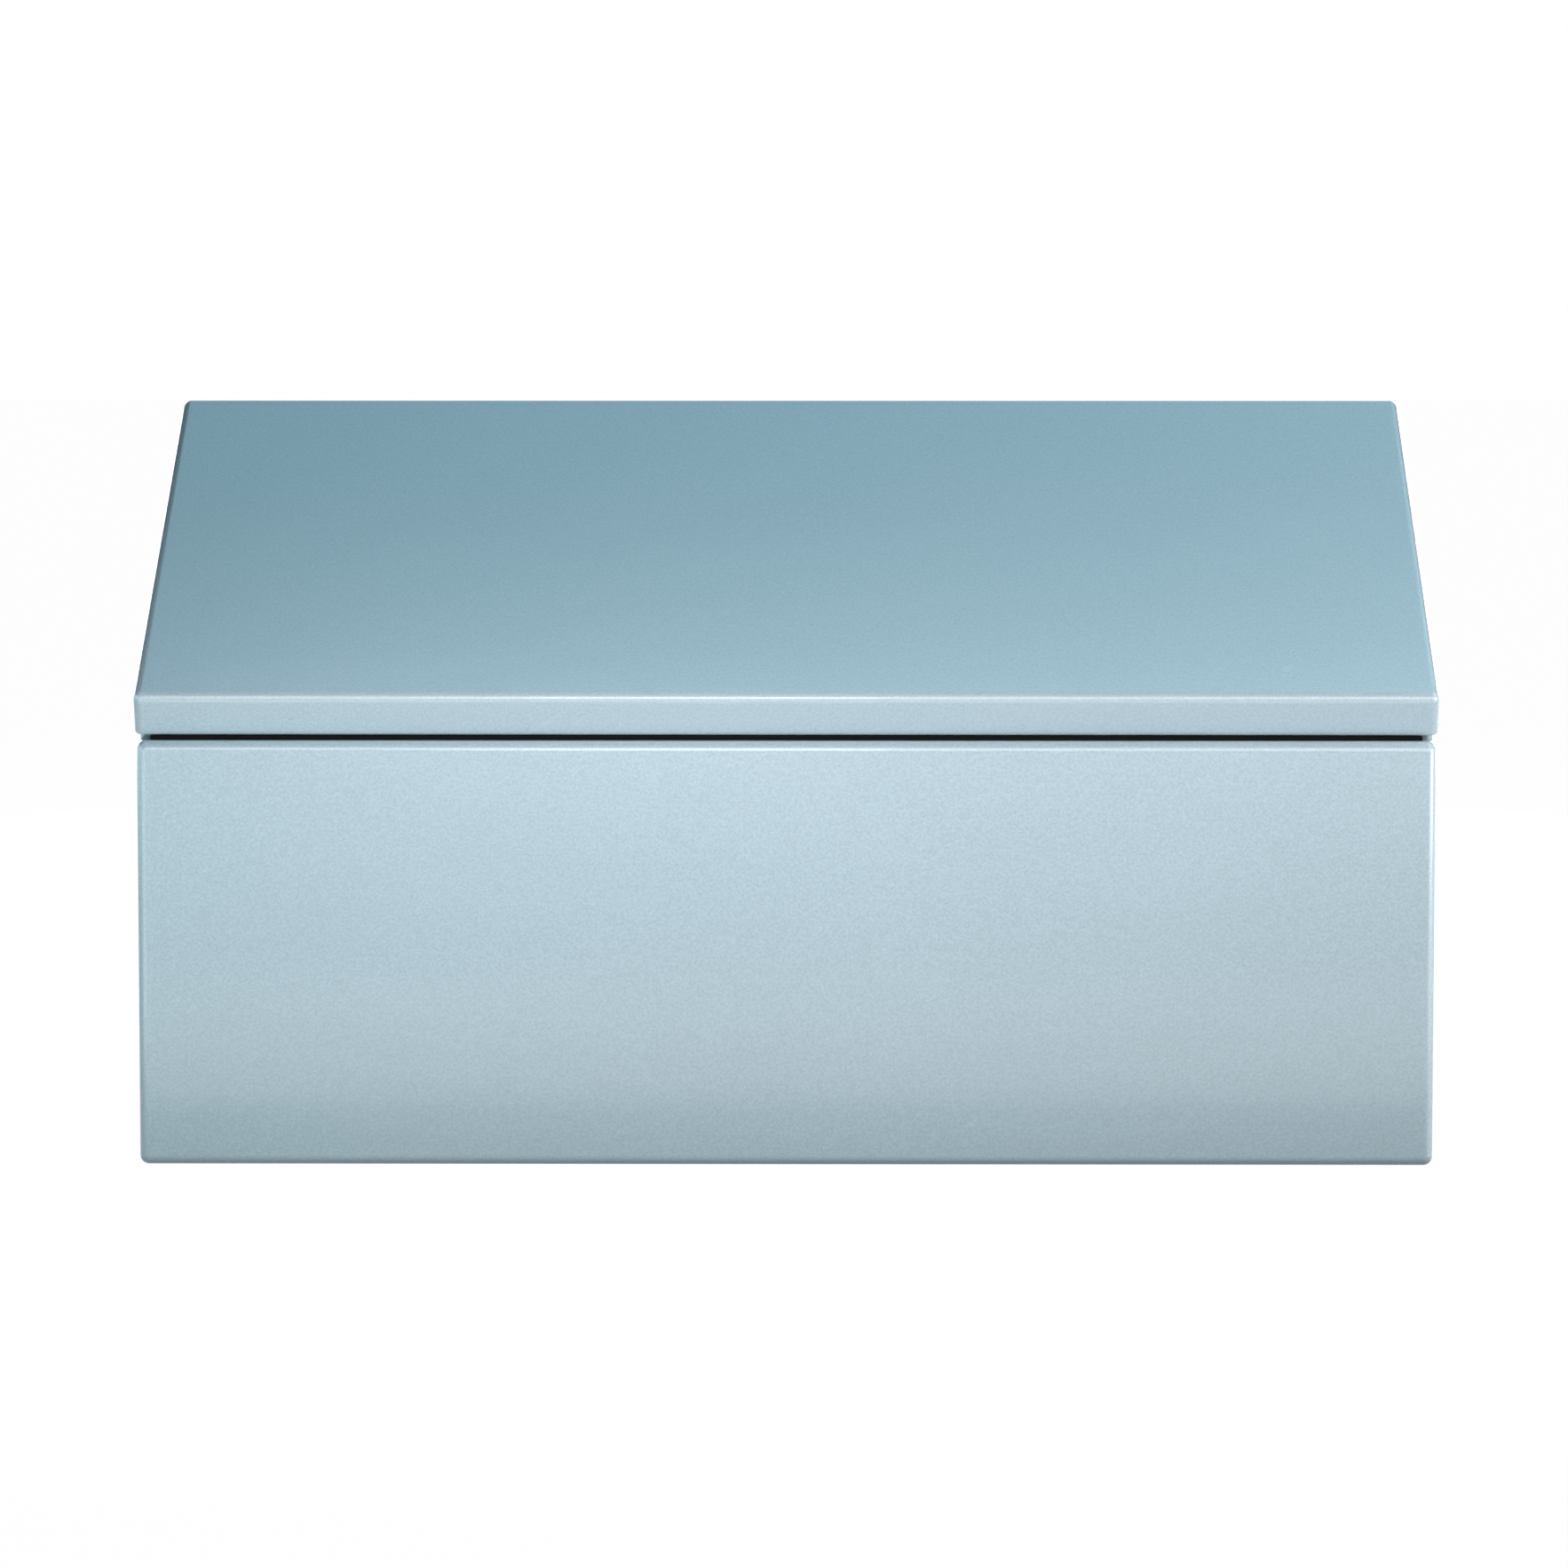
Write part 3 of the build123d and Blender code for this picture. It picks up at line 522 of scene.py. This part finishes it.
def seamDistance(x, y, look):
    # Distance to the nearest sewn line: the border at an even inset, or a channel across
    border = np.abs(edgeDistance(x, y, look) - look["seamInset"])
    inside = edgeDistance(x, y, look) > look["seamInset"]
    across = np.min([np.abs(x - place) for place in look["channels"]], axis=0)
    return np.where(inside, np.minimum(border, across), border)


def gridFaces(rows, columns, offset=0, flip=False):
    # Four corners of every cell of a rows by columns grid of points
    index = np.arange(rows * columns).reshape(rows, columns) + offset
    cells = np.stack([index[:-1, :-1], index[:-1, 1:], index[1:, 1:], index[1:, :-1]], axis=-1).reshape(-1, 4)
    return cells[:, ::-1] if flip else cells


def meshOf(name, points, faces):
    mesh = bpy.data.meshes.new(name)
    mesh.from_pydata(points.reshape(-1, 3).tolist(), [], faces.tolist())
    mesh.update()
    piece = bpy.data.objects.new(name, mesh)
    bpy.context.scene.collection.objects.link(piece)
    return piece


def cleanMesh(piece, gap=0.01 * mm):
    work = bmesh.new()
    work.from_mesh(piece.data)
    bmesh.ops.remove_doubles(work, verts=work.verts, dist=gap)
    bmesh.ops.recalc_face_normals(work, faces=work.faces)
    work.to_mesh(piece.data)
    work.free()
    piece.data.polygons.foreach_set("use_smooth", np.ones(len(piece.data.polygons), dtype=bool))


def pointsOf(mesh):
    flat = np.empty(len(mesh.vertices) * 3, dtype=np.float32)
    mesh.vertices.foreach_get("co", flat)
    return flat.reshape(-1, 3).astype(float)


def setPoints(mesh, points):
    mesh.vertices.foreach_set("co", points.astype(np.float32).ravel())
    mesh.update()


def applied(piece):
    # The piece's evaluated mesh takes the place of its own, and its modifiers go
    seen = piece.evaluated_get(bpy.context.evaluated_depsgraph_get())
    mesh = bpy.data.meshes.new_from_object(seen)
    piece.modifiers.clear()
    piece.data = mesh
    return piece


def startPad(look):
    # Rows run along y and columns along x, drawn in at the sides and the corners. Top and bottom lie above
    # and below the middle by half * sqrt(1 - (1 - rise)^2), a quarter round near the rim and level inside
    rows, columns = look["grid"]
    v, u = np.meshgrid(np.linspace(-1, 1, rows), np.linspace(-1, 1, columns), indexing="ij")
    y = v * (padHalf.y - look["pullIn"] * (1 - u ** 2))
    cut = np.maximum(0, np.abs(v) * padHalf.y - (padHalf.y - look["cornerCut"]))
    x = u * (padHalf.x - look["pullIn"] * (1 - v ** 2) - cut)
    rise = np.clip(edgeDistance(x, y, look) / look["rimReach"], 0, 1)
    half = look["startHeight"] / 2 * np.sqrt(1 - (1 - rise) ** 2)
    level = padLow.z + look["startHeight"] / 2
    top = np.stack([x, y + padMiddle.y, level + half], axis=-1)
    bottom = np.stack([x, y + padMiddle.y, level - half], axis=-1)
    faces = np.concatenate([gridFaces(rows, columns), gridFaces(rows, columns, rows * columns, flip=True)])
    piece = meshOf("bookPadFelt", np.concatenate([top.reshape(-1, 3), bottom.reshape(-1, 3)]), faces)
    cleanMesh(piece)
    return piece


def swellPad(piece, look):
    # Cloth under pressure, held along its sewn lines; its whole move is then scaled to stay within the most
    remesh = piece.modifiers.new("remesh", "REMESH")
    remesh.mode, remesh.voxel_size = "VOXEL", look["voxel"]
    applied(piece)
    start = pointsOf(piece.data)
    held = seamDistance(start[:, 0], start[:, 1] - padMiddle.y, look) < look["voxel"] * 0.7
    held |= edgeDistance(start[:, 0], start[:, 1] - padMiddle.y, look) < look["voxel"] * 0.6
    group = piece.vertex_groups.new(name="sewn")
    group.add(np.nonzero(held)[0].tolist(), 1.0, "REPLACE")
    cloth = piece.modifiers.new("cloth", "CLOTH")
    cloth.settings.quality = 5
    cloth.settings.use_pressure = True
    cloth.settings.uniform_pressure_force = look["pressure"]
    cloth.settings.effector_weights.gravity = 0
    cloth.settings.vertex_group_mass = "sewn"
    cloth.collision_settings.use_collision = False
    for frameNumber in range(1, look["frames"] + 1):
        bpy.context.scene.frame_set(frameNumber)
    applied(piece)
    bpy.context.scene.frame_set(1)
    move = pointsOf(piece.data) - start
    length = np.linalg.norm(move, axis=1, keepdims=True)
    most = max(float(length.max()), 1e-9)
    setPoints(piece.data, start + move * min(1.0, look["mostSwell"] / most))
    swell = round(min(most, look["mostSwell"]) * 1000, 1)
    print("pad swelled by up to", swell, "mm over", len(start), "points")


def sewPad(piece, look):
    # Sewn lines press the top towards the base as a bell across each line; books have left broad low dents
    points = pointsOf(piece.data)
    x, y = points[:, 0], points[:, 1] - padMiddle.y
    inset = 1.3 * look["bindingRadius"]
    x = x * (padHalf.x - inset) / np.abs(x).max()  # out to the binding again after the remesh
    y = y * (padHalf.y - inset) / np.abs(y).max()
    corner = (padHalf.x + padHalf.y - look["cornerCut"] - np.abs(x) - np.abs(y)) / math.sqrt(2)
    past = np.maximum(inset - corner, 0) / math.sqrt(2)
    x, y = x - np.sign(x) * past, y - np.sign(y) * past  # the cut corners stay behind the binding
    height = np.maximum(points[:, 2] - padLow.z, 0)
    seam = np.exp(-(seamDistance(x, y, look) / look["channelWidth"]) ** 2)
    along, across, skew = look["dentWaves"]
    startAlong, startAcross = look["dentStart"]
    dents = 0.5 + 0.5 * np.sin(x * along + startAlong) * np.sin(y * across + startAcross + x * skew)
    upper = np.clip(height / look["startHeight"], 0, 1)
    height = height * (1 - look["channelDepth"] * seam) - look["bookDent"] * dents * upper * (1 - seam)
    height *= min(1.0, (2 * padHalf.z) / max(float(height.max()), 1e-9))
    setPoints(piece.data, np.stack([x, y + padMiddle.y, padLow.z + np.maximum(height, 0)], axis=-1))
    # this attribute marks where the felt is darkened along the sewn grooves as painted shade
    creaseShade = piece.data.attributes.new("creaseShade", "FLOAT", "POINT")
    creaseShade.data.foreach_set("value", (seam * upper).astype(np.float32))


def seamRun(along, inset, look):
    # Outline at an even inset: a box with cut corners, walked from 0 to 1 by its length
    halfX, halfY = padHalf.x - inset, padHalf.y - inset
    cut = look["cornerCut"] - inset * (2 - math.sqrt(2))
    corners = np.array([
        (halfX, cut - halfY), (halfX, halfY - cut), (halfX - cut, halfY), (cut - halfX, halfY),
        (-halfX, halfY - cut), (-halfX, cut - halfY), (cut - halfX, -halfY), (halfX - cut, -halfY),
        (halfX, cut - halfY)])
    lengths = np.concatenate([[0], np.cumsum(np.linalg.norm(np.diff(corners, axis=0), axis=1))])
    place = along * lengths[-1]
    x, y = np.interp(place, lengths, corners[:, 0]), np.interp(place, lengths, corners[:, 1])
    gap = edgeDistance(x, y, look) - inset  # the sides' draw moves the line in by the same amount
    onSide = np.abs(x) > halfX - 0.5 * cut
    onEnd = np.abs(y) > halfY - 0.5 * cut
    x = x + np.where(onSide, np.sign(x) * np.minimum(gap, 0), 0)
    y = y + np.where(onEnd, np.sign(y) * np.minimum(gap, 0), 0)
    return x, y, lengths[-1]


def heightOver(x, y, surface, reach):
    # Mean height of the surface's points near each place, weighted by e to the minus (distance / reach)^2
    gap = (x[:, None] - surface[None, :, 0]) ** 2 + (y[:, None] - surface[None, :, 1]) ** 2
    weight = np.exp(-gap / reach ** 2) + 1e-12
    return (weight * surface[None, :, 2]).sum(1) / weight.sum(1)


def tubes(name, centres, sides, up, radii, closed=False):
    # A ring carried along each path: centre + radius * (cos a * side + sin a * up)
    ringPoints = 8
    angle = np.linspace(0, 2 * math.pi, ringPoints, endpoint=False)
    ring = np.cos(angle)[:, None] * sides[..., None, :] + np.sin(angle)[:, None] * up[..., None, :]
    points = centres[..., None, :] + radii[..., None, None] * ring
    paths, steps = centres.shape[:2]
    index = np.arange(paths * steps * ringPoints).reshape(paths, steps, ringPoints)
    after = np.roll(index, -1, axis=1) if closed else index[:, 1:]
    before = index if closed else index[:, :-1]
    faces = np.stack([before, np.roll(before, -1, axis=2), np.roll(after, -1, axis=2), after], axis=-1)
    piece = meshOf(name, points, faces.reshape(-1, 4))
    if not closed:
        work = bmesh.new()
        work.from_mesh(piece.data)
        bmesh.ops.holes_fill(work, edges=work.edges, sides=ringPoints)
        work.to_mesh(piece.data)
        work.free()
    cleanMesh(piece, 0.001 * mm)
    return piece


def bindPad(look):
    # Rounded binding: a ring of eight points carried round the rim at half the start height
    along = np.linspace(0, 1, look["bindingSteps"], endpoint=False)
    x, y, length = seamRun(along, look["bindingRadius"] * 1.07, look)
    centres = np.stack([x, y + padMiddle.y, np.full_like(x, padLow.z + look["startHeight"] / 2)], axis=-1)
    centres = np.mean([np.roll(centres, step, axis=0) for step in range(-3, 4)], axis=0)  # eases the corners
    run = np.roll(centres, -1, axis=0) - np.roll(centres, 1, axis=0)
    run /= np.linalg.norm(run, axis=1, keepdims=True)
    up = np.zeros_like(run) + (0, 0, 1)
    side = np.cross(run, up)
    ribs = np.sin(along * length / look["bindingRibPitch"] * 2 * math.pi)
    radii = look["bindingRadius"] * (1 + look["bindingRib"] * ribs)
    return tubes("bookPadBinding", centres[None], side[None], up[None], radii[None], closed=True)


def stitchPad(look, surface):
    # Each stitch is a short thread that dives at both ends: its height over the felt is
    # radius * (rise * (1 - (2 s - 1)^4) - sink), with s from 0 to 1 along it
    outline = seamRun(np.array([0.0]), look["seamInset"], look)[2]
    count = int(outline / look["stitchPitch"])
    begin = np.arange(count) / count
    finish = begin + look["stitch"] / outline
    x0, y0, _ = seamRun(begin, look["seamInset"], look)
    x1, y1, _ = seamRun(finish, look["seamInset"], look)
    channelEnd = padHalf.y - look["seamInset"] - look["stitchMargin"]
    rows = np.arange(-channelEnd, channelEnd, look["stitchPitch"])
    for place in look["channels"]:
        x0, x1 = np.append(x0, np.full_like(rows, place)), np.append(x1, np.full_like(rows, place))
        y0, y1 = np.append(y0, rows), np.append(y1, rows + look["stitch"])
    share = np.linspace(0, 1, look["threadSteps"])
    x = x0[:, None] + (x1 - x0)[:, None] * share
    y = y0[:, None] + (y1 - y0)[:, None] * share + padMiddle.y
    ground = heightOver(x.ravel(), y.ravel(), surface, look["feltReach"]).reshape(x.shape)
    lift = look["threadRadius"] * (look["threadRise"] * (1 - (2 * share - 1) ** 4) - look["threadSink"])
    centres = np.stack([x, y, ground + lift], axis=-1)
    run = centres[:, -1] - centres[:, 0]
    run /= np.linalg.norm(run, axis=1, keepdims=True)
    up = np.zeros_like(run) + (0, 0, 1)
    side = np.cross(run, up)
    spread = np.ones((1, look["threadSteps"], 1))
    radii = look["threadRadius"] * np.sqrt(np.clip(1 - (2 * share - 1) ** 6, 0.12, 1)) * np.ones((len(x), 1))
    return tubes("bookPadStitches", centres, side[:, None] * spread, up[:, None] * spread, radii)


def makeFibreGroup():
    # Matted fibres: three stretched noises laid at three angles, the highest of them on top
    inputs = {"Position": (0, 0, 0), "Fibre": 0.5, "Stretch": 14.0}
    group, given, result = startGroup("mattedFibres", inputs, {"Height": "Float"})
    layers = []
    for turn in (0.2, 1.3, 2.35):
        spin = addNode(group, "ShaderNodeVectorRotate", {
            "Vector": given["Position"], "Angle": turn, "Axis": (0, 0, 1)})
        layers.append(useGroup(group, drawnLines, {
            "Position": spin.outputs["Vector"], "Line": given["Fibre"],
            "Stretch": given["Stretch"]})["Value"])
    top = math2(group, "MAXIMUM", math2(group, "MAXIMUM", layers[0], layers[1]), layers[2])
    group.links.new(top, result["Height"])
    return group


mattedFibres = makeFibreGroup()


def makeFelt(name, low, high, fibre, depth):
    material, tree, shader, position, facing = startMaterial(name)
    fibres = useGroup(tree, mattedFibres, {"Position": position, "Fibre": fibre, "Stretch": 12.0})["Height"]
    tone = useGroup(tree, toneDrift, {
        "Position": position, "Base": low, "Cloud": 30.0, "Drift": 0.5, "Speck": 1.2, "Grain": 0.5})
    sewn = addNode(tree, "ShaderNodeAttribute", attribute_type="GEOMETRY", attribute_name="creaseShade")
    creaseShade = sewn.outputs["Fac"]
    dust = useGroup(tree, settledDust, {
        "Position": position, "Facing": facing, "Cloud": 26.0, "Amount": 0.16})["Mask"]
    colour = mixColour(tree, ramp(tree, fibres, 0.5, 0.8), tone["Color"], high)
    # painted shade: the felt darkens towards near black in the sewn grooves
    colour = mixColour(tree, math2(tree, "MULTIPLY", creaseShade, 0.45), colour, padLook["creaseShadeColour"])
    colour = mixColour(tree, dust, colour, padLook["dustColour"])
    tree.links.new(colour, shader.inputs["Base Color"])
    tree.links.new(ramp(tree, fibres, 0.4, 0.8, 0.82, 0.98), shader.inputs["Roughness"])
    skin = addNode(tree, "ShaderNodeBump", {"Height": fibres, "Distance": depth, "Strength": 1.0})
    tree.links.new(skin.outputs["Normal"], shader.inputs["Normal"])
    shader.inputs["Sheen Weight"].default_value = 0.35
    shader.inputs["Sheen Roughness"].default_value = 0.5
    shader.inputs["Specular IOR Level"].default_value = 0.15
    return material


def makePad(look):
    felt = startPad(look)
    swellPad(felt, look)
    sewPad(felt, look)
    smooth = felt.modifiers.new("smooth", "SUBSURF")
    smooth.levels = smooth.render_levels = 1
    applied(felt)
    surface = pointsOf(felt.data)
    lowestTop = padLow.z + 0.35 * look["startHeight"]  # above the base and the rim
    surface = surface[surface[:, 2] > lowestTop]
    near = seamDistance(surface[:, 0], surface[:, 1] - padMiddle.y, look) < look["channelWidth"]
    stitches = stitchPad(look, surface[near])
    binding = bindPad(look)
    finishesOfPad = {
        felt: makeFelt("padFelt", look["felt"], look["feltLight"], 0.5, 1.6e-4),
        binding: makeFelt("padBinding", look["binding"], look["felt"], 0.35, 0.8e-4),
        stitches: makeFelt("padThread", look["thread"], look["threadLight"], 0.12, 0.4e-4),
    }
    for piece, material in finishesOfPad.items():
        piece.data.materials.clear()
        piece.data.materials.append(material)
        piece.data.polygons.foreach_set("use_smooth", np.ones(len(piece.data.polygons), dtype=bool))
        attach(piece, "case")
    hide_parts("book_pad")


makePad(padLook)
print("book pad ready")


# Camera, on the front's middle from slightly above

cameraLook = {
    "aimX": -0.8 * mm,
    "aimHeight": 177.0 * mm,
    "distance": 3.124,
    "sideAngle": 0.48,
    "downAngle": 5.45,
    "lens": 156.2,
}


def addCamera(look):
    aim = Vector((look["aimX"], caseLow.y, look["aimHeight"]))
    side, down = math.radians(look["sideAngle"]), math.radians(look["downAngle"])
    away = Vector((math.sin(side) * math.cos(down), -math.cos(side) * math.cos(down), math.sin(down)))
    data = bpy.data.cameras.new("camera")
    data.lens = look["lens"]
    data.sensor_width = 36
    data.clip_end = 50
    camera = bpy.data.objects.new("camera", data)
    camera.location = aim + away * look["distance"]
    camera.rotation_mode = "QUATERNION"
    camera.rotation_quaternion = away.to_track_quat("Z", "Y")
    bpy.context.scene.collection.objects.link(camera)
    bpy.context.scene.camera = camera


addCamera(cameraLook)


# Floor and lights

studioLook = {
    "floorWhite": 0.985,
    "floorShade": 0.05,  # how much of the floor's white is lit, and so takes a shadow
    "background": 1.0,
    "ambient": 0.03,
    "ambientColour": (0.82, 0.92, 1.0, 1),
}

lampLook = {
    # place, aim, width, height, watts, colour
    "stripFront": ((0.20, -0.60, 0.30), (0.10, -0.10, 0.15), 0.80, 0.20, 1.12, (1.0, 1.0, 0.97)),
    "stripClose": ((0.20, -0.42, 0.32), (0.12, -0.13, 0.20), 0.70, 0.14, 0.95, (1.0, 0.88, 0.85)),
    "stripCloseLeft": ((-0.15, -0.42, 0.30), (-0.10, -0.13, 0.20), 0.40, 0.14, 0.7, (1.0, 0.90, 0.87)),
    "tableFront": ((0.05, -0.55, 0.006), (0.05, -0.55, 1.0), 1.60, 0.50, 2.8, (1.0, 0.91, 0.88)),
    "fillFrontLeft": ((-0.50, -0.50, 0.15), (-0.20, 0.0, 0.15), 0.30, 0.30, 0.6, (0.75, 1.0, 1.0)),
    "sideLeft": ((-1.30, 0.25, 0.40), (-0.30, 0.0, 0.15), 0.70, 0.70, 3.2, (0.60, 0.86, 1.0)),
    "overheadLine": ((0.10, 0.05, 1.15), (0.10, 0.0, 0.25), 1.60, 0.08, 1.3, (0.80, 0.95, 1.0)),
    "overheadRight": ((0.80, -0.10, 1.00), (0.10, 0.0, 0.30), 0.50, 0.50, 2.8, (1.0, 0.90, 0.86)),
    "overheadBack": ((0.20, 0.75, 1.15), (0.0, 0.0, 0.3), 1.50, 0.80, 4.5, (0.34, 0.81, 1.0)),
    "backRight": ((0.80, 1.30, 0.30), (0.0, 0.1, 0.2), 0.90, 0.50, 6.5, (0.95, 0.98, 1.0)),
    "backLeft": ((-0.80, 1.30, 0.30), (0.0, 0.1, 0.2), 0.90, 0.50, 5.5, (0.95, 0.98, 1.0)),
}
fillLamps = {  # not seen in the gloss, where they would draw a band or burn out
    "footFront": ((0.05, -0.36, 0.035), (0.05, -0.13, 0.02), 1.20, 0.04, 0.32, (0.90, 1.0, 1.0)),
    "sideRight": ((0.95, -0.15, 0.25), (0.30, -0.13, 0.15), 0.50, 0.60, 6.0, (1.0, 0.90, 0.84)),
}
glossLamps = {  # seen only in the gloss, where they light the side bends
    "glossLeft": ((-1.50, -0.50, 0.50), (-0.30, -0.05, 0.20), 1.00, 0.80, 9.0, (0.55, 0.82, 1.0)),
    "glossRight": ((1.50, -0.70, 0.30), (0.30, -0.13, 0.15), 1.00, 0.70, 22.0, (0.92, 0.98, 1.0)),
}


def addFloor(look):
    mesh = bpy.data.meshes.new("floor")
    mesh.from_pydata([(-9, -9, 0), (9, -9, 0), (9, 9, 0), (-9, 9, 0)], [], [(0, 1, 2, 3)])
    floor = bpy.data.objects.new("floor", mesh)
    floor.visible_diffuse = False
    bpy.context.scene.collection.objects.link(floor)
    material, _, shader, _, _ = startMaterial("floorPale")
    shader.inputs["Base Color"].default_value = (look["floorShade"],) * 3 + (1,)
    shader.inputs["Roughness"].default_value = 0.95
    shader.inputs["Specular IOR Level"].default_value = 0.0
    shader.inputs["Emission Color"].default_value = (1, 1, 1, 1)
    shader.inputs["Emission Strength"].default_value = look["floorWhite"]
    mesh.materials.append(material)


def addWorld(look):
    world = bpy.data.worlds.new("studio")
    world.use_nodes = True
    tree = world.node_tree
    seen = tree.nodes["Background"]
    seen.inputs["Color"].default_value = (1, 1, 1, 1)
    seen.inputs["Strength"].default_value = look["background"]
    lit = addNode(tree, "ShaderNodeBackground", {"Color": look["ambientColour"], "Strength": look["ambient"]})
    path = addNode(tree, "ShaderNodeLightPath")
    choice = {0: path.outputs["Is Camera Ray"], 1: lit.outputs[0], 2: seen.outputs[0]}
    both = addNode(tree, "ShaderNodeMixShader", choice)
    tree.links.new(both.outputs[0], tree.nodes["World Output"].inputs["Surface"])
    bpy.context.scene.world = world


def addLamp(name, place, aim, width, height, watts, colour):
    data = bpy.data.lights.new(name, "AREA")
    data.shape = "RECTANGLE"
    data.size, data.size_y = width, height
    data.energy = watts
    data.color = colour
    lamp = bpy.data.objects.new(name, data)
    lamp.location = place
    lamp.rotation_mode = "QUATERNION"
    lamp.rotation_quaternion = (Vector(place) - Vector(aim)).to_track_quat("Z", "Y")
    lamp.visible_camera = False
    bpy.context.scene.collection.objects.link(lamp)


addFloor(studioLook)
addWorld(studioLook)
for name, settings in {**lampLook, **fillLamps, **glossLamps}.items():
    addLamp(name, *settings)
    bpy.data.objects[name].visible_diffuse = name not in glossLamps
    bpy.data.objects[name].visible_glossy = name not in fillLamps
bpy.context.scene.view_settings.view_transform = "Standard"
print("camera, floor and lights ready")
